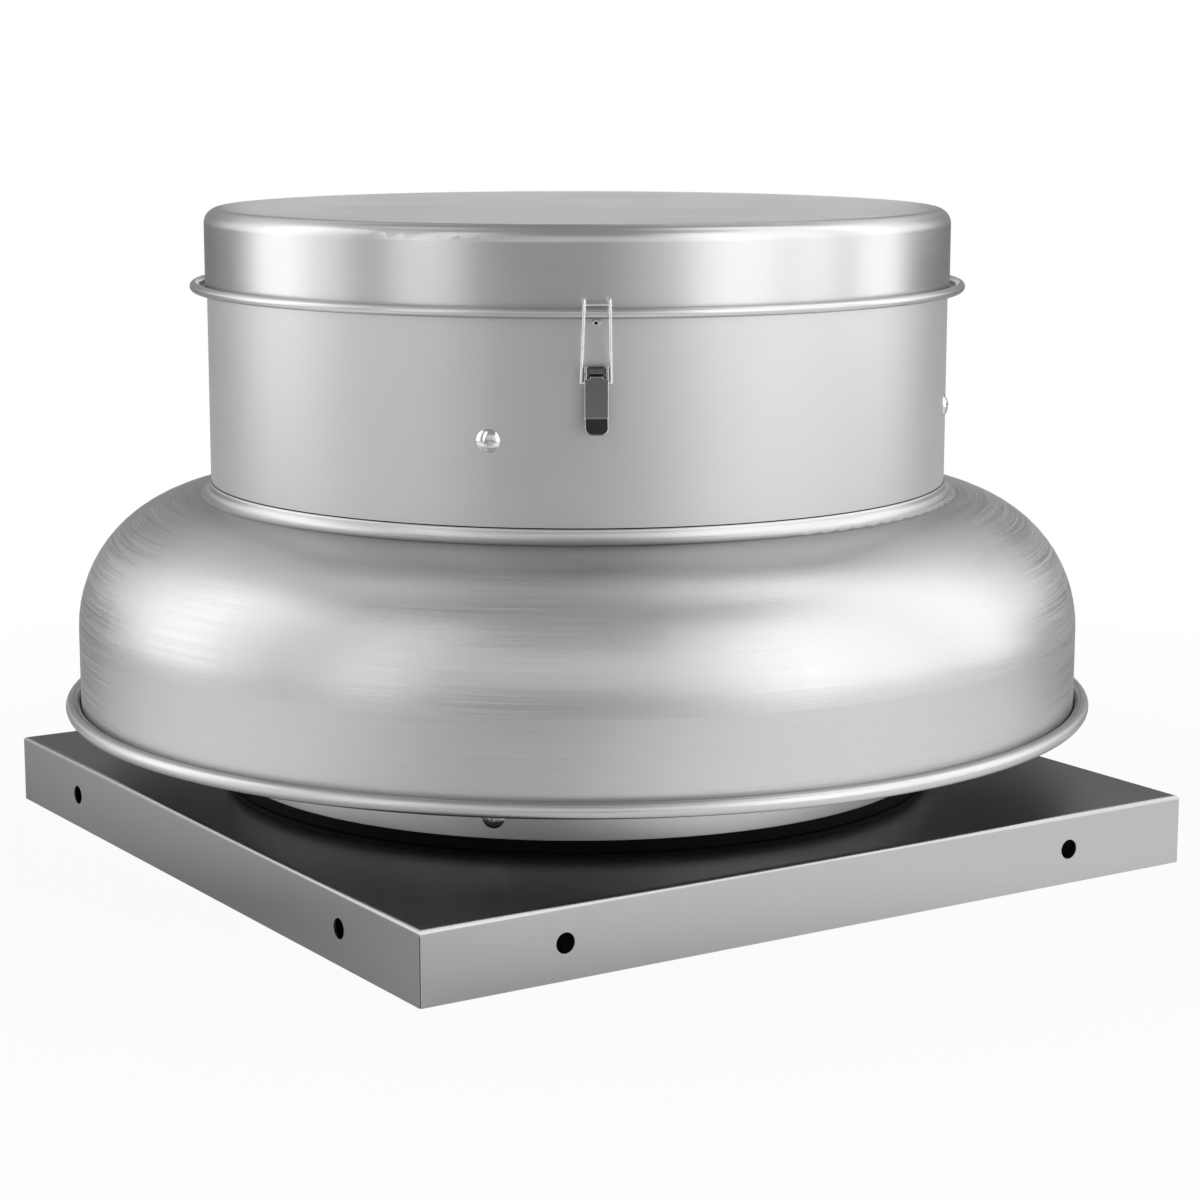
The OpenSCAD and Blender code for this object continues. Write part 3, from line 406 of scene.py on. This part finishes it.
copper_skin = dull_solid("varnished copper", (0.30, 0.11, 0.04), rough=0.34,
                         mark_scale=400.0, depth=0.0006)
rubber_skin = dull_solid("black rubber", (0.003, 0.003, 0.003), rough=0.60,
                         mark_scale=300.0, depth=0.0002, gloss=0.12)
foam_skin = dull_solid("grey sponge", (0.03, 0.03, 0.032), rough=0.85,
                       mark_scale=500.0, depth=0.0006)
plastic_skin = dull_solid("black plastic", (0.012, 0.012, 0.013), rough=0.42,
                          mark_scale=240.0, depth=0.0001)

FINISH = {
    hood_metal: ["hood"],
    housing_metal: ["motor_housing"],
    lid_metal: ["lid", "inlet_cone", "wheel_shroud", "wheel_backplate", "wheel_blades"],
    collar_metal: ["collar_ring", "capacitor"],
    cap_metal: ["curb_cap"],
    zinc_metal: ["support_leg_1", "support_leg_2", "support_leg_3", "support_leg_4", "motor_deck",
                 "deck_brackets", "motor_plate", "capacitor_clamp", "latch_backing_plates"],
    wire_metal: ["latch_bail_1", "latch_bail_2", "latch_bail_3"],
    lever_metal: ["latch_lever_1", "latch_lever_2", "latch_lever_3"],
    latch_metal: ["latch_base_1", "latch_base_2", "latch_base_3", "latch_pins"],
    screw_metal: ["housing_screws", "collar_screws"],
    rivet_metal: ["latch_rivets", "hub_rivets"],
    bolt_metal: ["collar_bolts", "collar_screw_nuts", "housing_screw_nuts", "deck_bolts",
                 "bracket_bolts", "motor_tie_bolts", "leg_spacers", "hub_set_screws"],
    shaft_metal: ["motor_shaft", "wheel_hub", "lower_bearing", "upper_bearing"],
    iron_skin: ["stator_core", "rotor_core"],
    enamel_skin: ["drive_end_bell", "stator_frame", "rear_end_bell", "terminal_box",
                  "terminal_box_cover"],
    copper_skin: ["stator_windings"],
    rubber_skin: ["collar_gasket", "motor_isolators"],
    foam_skin: ["lid_gasket"],
    plastic_skin: ["cable_glands"],
}
for material, names in FINISH.items():
    for name in names:
        node = NODES[name]
        for slot in node.material_slots:
            slot.material = material
        if not node.material_slots:
            node.data.materials.append(material)


# ---- trim of the scene alone ----
def mesh_object(name, points, faces, material):
    """Object of points and faces with one material, placed in the scene."""
    mesh = bpy.data.meshes.new(name)
    mesh.from_pydata(points, [], faces)
    mesh.materials.append(material)
    made = bpy.data.objects.new(name, mesh)
    bpy.context.scene.collection.objects.link(made)
    return made


def revolved(name, outline, closed, material, body, steps=360):
    """Skin that a line of (radius, height) points sweeps about the wheel axis."""
    count = len(outline)
    points = []
    for i in range(steps):
        turn = 2.0 * math.pi * i / steps
        points += [(r * math.cos(turn), r * math.sin(turn), z) for r, z in outline]
    faces = []
    for i in range(steps):
        here, there = i * count, (i + 1) % steps * count
        for j in range(count if closed else count - 1):
            k = (j + 1) % count
            faces.append((here + j, there + j, there + k, here + k))
    skin = mesh_object(name, points, faces, material)
    skin.data.polygons.foreach_set("use_smooth", [True] * len(faces))
    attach(skin, body)


def arc(radius, height, size, from_deg, to_deg, steps):
    """Points of an arc of the given size round (radius, height)."""
    turns = [math.radians(from_deg + (to_deg - from_deg) * i / steps) for i in range(steps + 1)]
    return [(radius + size * math.cos(t), height + size * math.sin(t)) for t in turns]


def shells_of(mesh):
    """Corners of each separate shell of a mesh; corners at the same place count as joined."""
    parent = list(range(len(mesh.vertices)))

    def top_of(i):
        while parent[i] != i:
            parent[i] = parent[parent[i]]
            i = parent[i]
        return i

    near = {}
    for vertex in mesh.vertices:
        key = tuple(round(c, 6) for c in vertex.co)
        parent[vertex.index] = near.setdefault(key, vertex.index)
    for edge in mesh.edges:
        parent[top_of(edge.vertices[0])] = top_of(edge.vertices[1])
    shells = {}
    for vertex in mesh.vertices:
        shells.setdefault(top_of(vertex.index), []).append(vertex.co)
    return shells.values()


def rivet_holes(name, radius, inset, material, body, steps=20):
    """Dark disc of painted shade in the hollow of each latch rivet, facing outwards."""
    points, faces = [], []
    for shell in shells_of(NODES["latch_rivets"].data):
        low = Vector([min(co[k] for co in shell) for k in range(3)])
        high = Vector([max(co[k] for co in shell) for k in range(3)])
        middle = (low + high) / 2.0
        out = Vector((middle.x, middle.y, 0.0)).normalized()
        side = Vector((-out.y, out.x, 0.0))
        reach = max(co.dot(out) for co in shell) - inset
        centre = Vector((out.x * reach, out.y * reach, middle.z))
        start = len(points)
        for i in range(steps):
            turn = 2.0 * math.pi * i / steps
            points.append(centre + side * (radius * math.cos(turn))
                          + Vector((0, 0, radius * math.sin(turn))))
        faces.append(list(range(start, start + steps)))
    discs = mesh_object(name, points, faces, material)
    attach(discs, body)


# Lid bead: radius of its tube, and height of its centre above the lid's lowest edge
BEAD_TUBE = 0.0035
BEAD_RISE = 0.0028
# Hood rim: radius of its rolled tube, and how far it hangs below the solid's rim
RIM_TUBE = 0.0053
RIM_DROP = 0.0007
# Lip of the collar gasket: how far it climbs the gasket's wall
LIP_RISE = 0.0010
# Joint of housing and hood: tube of the dark ring of painted shadow in the slit, ledge beside the
# wall, bend and cove of the neck
JOINT_SHADOW_TUBE = 0.0003
NECK_LEDGE = 0.0011
NECK_BEND = 0.0021
NECK_COVE = 0.0080
# Hole in each latch rivet, darkened with painted shade: radius of its dark disc, and its depth
# below the rivet's face
HOLE_RADIUS = 0.0011
HOLE_DEPTH = 0.0003
# How far a skin stands off its solid
SKIN_LIFT = 0.0001

lid_low, lid_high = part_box("lid")
housing_low, housing_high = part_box("motor_housing")
bead = arc(lid_high[0] - BEAD_TUBE, lid_low[2] + BEAD_RISE, BEAD_TUBE,
           from_deg=0.0, to_deg=345.0, steps=23)
joint_shadow = arc(housing_high[0] + SKIN_LIFT, housing_low[2], JOINT_SHADOW_TUBE,
           from_deg=0.0, to_deg=315.0, steps=7)
neck_radius, neck_height = housing_high[0] + NECK_LEDGE, housing_low[2] - NECK_BEND
neck = arc(neck_radius - NECK_BEND, neck_height, NECK_BEND + SKIN_LIFT,
           from_deg=90.0, to_deg=0.0, steps=12)
neck += arc(neck_radius + NECK_COVE, neck_height, NECK_COVE - SKIN_LIFT,
            from_deg=180.0, to_deg=268.0, steps=20)[1:]
hood_low, hood_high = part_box("hood")
rim = arc(hood_high[1] - RIM_TUBE, hood_low[2] + RIM_TUBE - RIM_DROP, RIM_TUBE,
          from_deg=0.0, to_deg=350.0, steps=35)
cone_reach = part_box("inlet_cone")[1][0]
gasket_low, gasket_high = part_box("collar_gasket")
cap_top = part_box("curb_cap")[1][2]
lip_radius = max(cone_reach, gasket_high[0]) + 2.0 * SKIN_LIFT
lip = [(gasket_high[0] + SKIN_LIFT, gasket_low[2] + LIP_RISE),
       (lip_radius, gasket_low[2]), (lip_radius, cap_top)]
revolved("lid_bead", bead, True, lid_metal, "lid")
revolved("hood_rim", rim, True, hood_metal, "frame")
revolved("gasket_lip", lip, False, rubber_skin, "frame")
# Thin dark ring of painted shadow in the slit between housing and hood
revolved("housing_joint_shadow", joint_shadow, True, rubber_skin, "frame")
revolved("hood_neck", neck, False, hood_metal, "frame")
# Dark discs of painted shade in the hollows of the latch rivets
rivet_holes("rivet_holes", HOLE_RADIUS, HOLE_DEPTH, rubber_skin, "frame")


# ---- studio ----
# Floor: half of its side, its grey, its glow near the fan, and the distances between which the
# glow grows to white
FLOOR_REACH = 30.0
FLOOR_GREY = 0.80
FLOOR_WHITE = 0.94
FLOOR_NEAR, FLOOR_FAR = 0.45, 1.1
# How bright the floor and the air look in the metal, and the fill light of the air
FLOOR_GLOSSY = 0.10
WORLD_GLOSSY = 0.17
WORLD_FILL = 0.16
# Half side of the square under the cap, 1 mm inside its edge, where the floor doesn't glow
FLOOR_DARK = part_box("curb_cap")[1][0] - 0.001
# Azimuth, distance, inner radius, outer radius and level of each pool of light on the floor
FLOOR_POOLS = (
    (-74.0, 0.98, 0.32, 0.68, 1.02),
    (-42.0, 1.05, 0.15, 0.50, 0.45),
    (0.0, 0.60, 0.10, 0.45, 0.12),
    (24.0, 1.00, 0.10, 0.45, 0.35),
    (57.0, 1.00, 0.50, 0.90, 1.22),
    (85.0, 1.00, 0.10, 0.45, 0.40),
)
# Azimuth, distance, height, width, length, level and height of aim of each lamp
SOFTBOXES = {
    "left side softbox": (-98.0, 2.7, 1.45, 1.15, 3.3, 1.72, 1.45),
    "left corner softbox": (-77.0, 2.7, 1.45, 0.90, 3.3, 1.00, 1.45),
    "left front softbox": (-43.0, 2.7, 1.90, 1.05, 4.2, 1.12, 1.90),
    "right front softbox": (46.0, 2.7, 1.70, 1.30, 3.8, 1.66, 1.70),
    "right corner softbox": (72.0, 2.7, 2.10, 0.90, 4.6, 1.45, 2.10),
    "right side softbox": (99.0, 2.7, 1.80, 1.15, 4.0, 1.66, 1.80),
    "left high softbox": (-100.0, 1.9, 4.2, 1.6, 1.6, 0.60, 0.3),
    "right high softbox": (100.0, 1.9, 4.2, 1.6, 1.6, 1.60, 0.3),
}
# First and last azimuth, distance, lowest and highest edge and level of each card
CARDS = {
    "front card": (-25.0, 13.0, 3.1, 0.6, 2.5, 0.67),
    "right front card": (14.0, 33.0, 3.1, 0.2, 2.3, 0.86),
    "left quarter card": (-131.0, -111.0, 2.9, 0.5, 3.6, 1.15),
    "left rear card": (-160.0, -131.0, 2.9, 1.7, 3.6, 1.00),
    "left back card": (-172.0, -160.0, 2.9, 1.8, 3.4, 0.75),
    "right quarter card": (111.0, 131.0, 2.9, 0.5, 3.6, 1.30),
    "right rear card": (131.0, 158.0, 2.9, 1.7, 3.6, 1.15),
    "right back card": (158.0, 176.0, 2.9, 1.8, 3.6, 0.95),
    "rear backdrop": (170.5, 190.5, 4.2, 0.45, 1.00, 2.35),
}


def emitter(name, level):
    """Material of one even grey that needs no light."""
    material, nodes, links, shader = blank_material(name)
    nodes.remove(shader)
    glow = nodes.new("ShaderNodeEmission")
    glow.inputs["Color"].default_value = (level, level, level, 1.0)
    links.new(glow.outputs[0], nodes["Material Output"].inputs["Surface"])
    return material


def background_share(nodes, links, glossy_share):
    """1 for camera and transmission rays, and the given share for glossy rays."""
    path = nodes.new("ShaderNodeLightPath")
    direct = math_node(nodes, links, "MAXIMUM",
                       path.outputs["Is Camera Ray"], path.outputs["Is Transmission Ray"])
    glossy = math_node(nodes, links, "MULTIPLY", path.outputs["Is Glossy Ray"], glossy_share)
    return math_node(nodes, links, "MAXIMUM", direct, glossy)


def around(azimuth, distance, height):
    """Point at an azimuth in degrees right of the camera's side, seen from the fan."""
    a = CAMERA_AZIMUTH + math.radians(azimuth)
    return Vector((math.sin(a) * distance, -math.cos(a) * distance, height))


def build_floor():
    """Pale floor that reads as white and keeps the fan's soft shadow."""
    material, nodes, links, shader = blank_material("pale studio floor")
    shader.inputs["Base Color"].default_value = (FLOOR_GREY, FLOOR_GREY, FLOOR_GREY, 1.0)
    shader.inputs["Roughness"].default_value = 0.9
    shader.inputs["Specular IOR Level"].default_value = 0.0
    glow = nodes.new("ShaderNodeEmission")
    glow.inputs["Color"].default_value = (1.0, 1.0, 1.0, 1.0)
    x, y, _ = parts_of(nodes, links, object_place(nodes))
    far = from_axis(nodes, links, x, y)
    white = map_range(nodes, links, far, FLOOR_NEAR, FLOOR_FAR, FLOOR_WHITE, 1.0)
    side = math_node(nodes, links, "MAXIMUM", math_node(nodes, links, "ABSOLUTE", x),
                     math_node(nodes, links, "ABSOLUTE", y))
    outside = math_node(nodes, links, "GREATER_THAN", side, FLOOR_DARK)
    white = math_node(nodes, links, "MULTIPLY", white, outside)
    lit = FLOOR_GLOSSY
    for azimuth, distance, inner, outer, level in FLOOR_POOLS:
        spot = place_group(nodes, LIGHT_POOL, Centre=around(azimuth, distance, 0.0),
                           Inner=inner, Outer=outer, Level=level)
        lit = math_node(nodes, links, "ADD", lit, spot.outputs["Pool"])
    share = math_node(nodes, links, "MULTIPLY", background_share(nodes, links, lit), white)
    mix = nodes.new("ShaderNodeMixShader")
    links.new(share, mix.inputs[0])
    links.new(shader.outputs[0], mix.inputs[1])
    links.new(glow.outputs[0], mix.inputs[2])
    links.new(mix.outputs[0], nodes["Material Output"].inputs["Surface"])
    size = FLOOR_REACH
    corners = [(-size, -size, 0), (size, -size, 0), (size, size, 0), (-size, size, 0)]
    floor = mesh_object("studio_floor", corners, [(0, 1, 2, 3)], material)


def curved_card(name, from_az, to_az, distance, low, high, level, steps=12):
    """Upright card bent round the fan, seen in the metal but not by the camera."""
    points, faces = [], []
    for i in range(steps + 1):
        az = from_az + (to_az - from_az) * i / steps
        points += [around(az, distance, low), around(az, distance, high)]
    for i in range(steps):
        faces.append((2 * i, 2 * i + 2, 2 * i + 3, 2 * i + 1))
    card = mesh_object(name, points, faces, emitter(name + " grey", level))
    card.visible_camera = False
    card.visible_shadow = False
    card.visible_diffuse = False


def softbox(name, azimuth, distance, height, width, tall, level, aim_height):
    """Soft lamp; level is how bright its face looks in a mirror, where 1 is white."""
    lamp = bpy.data.lights.new(name, "AREA")
    lamp.shape = "RECTANGLE"
    lamp.size, lamp.size_y = width, tall
    lamp.energy = level * math.pi * width * tall
    holder = bpy.data.objects.new(name, lamp)
    bpy.context.scene.collection.objects.link(holder)
    holder.location = around(azimuth, distance, height)
    aim = Vector((0.0, 0.0, aim_height)) - holder.location
    holder.rotation_mode = "QUATERNION"
    holder.rotation_quaternion = aim.to_track_quat("-Z", "Y")
    holder.visible_camera = False


def build_world():
    """Air that is white to the camera, darker in the metal and a faint fill for the rest."""
    world = bpy.data.worlds.new("studio air")
    bpy.context.scene.world = world
    world.use_nodes = True
    nodes, links = world.node_tree.nodes, world.node_tree.links
    fill = nodes["Background"]
    fill.inputs["Color"].default_value = (WORLD_FILL, WORLD_FILL, WORLD_FILL, 1.0)
    fill.inputs["Strength"].default_value = 1.0
    white = nodes.new("ShaderNodeBackground")
    white.inputs["Color"].default_value = (1.0, 1.0, 1.0, 1.0)
    mix = nodes.new("ShaderNodeMixShader")
    links.new(background_share(nodes, links, WORLD_GLOSSY), mix.inputs[0])
    links.new(fill.outputs[0], mix.inputs[1])
    links.new(white.outputs[0], mix.inputs[2])
    links.new(mix.outputs[0], nodes["World Output"].inputs["Surface"])


def build_camera():
    """Camera of the photograph."""
    data = bpy.data.cameras.new("photo camera")
    data.sensor_width = CAMERA_SENSOR
    data.lens = CAMERA_LENS
    data.clip_start, data.clip_end = CAMERA_CLIP
    camera = bpy.data.objects.new("photo camera", data)
    bpy.context.scene.collection.objects.link(camera)
    az, pitch, roll = CAMERA_AZIMUTH, CAMERA_PITCH, CAMERA_ROLL
    forward = Vector((-math.sin(az) * math.cos(pitch), math.cos(az) * math.cos(pitch),
                      -math.sin(pitch)))
    right = Vector((math.cos(az), math.sin(az), 0.0))
    up = right.cross(forward)
    right_rolled = right * math.cos(roll) + up * math.sin(roll)
    up_rolled = up * math.cos(roll) - right * math.sin(roll)
    turn = Matrix((right_rolled, up_rolled, -forward)).transposed()
    camera.matrix_world = Matrix.Translation(CAMERA_AT) @ turn.to_4x4()
    bpy.context.scene.camera = camera


build_floor()
build_world()
build_camera()
for name, values in SOFTBOXES.items():
    softbox(name, *values)
for name, values in CARDS.items():
    curved_card(name, *values)

scene = bpy.context.scene
scene.view_settings.view_transform = "Standard"
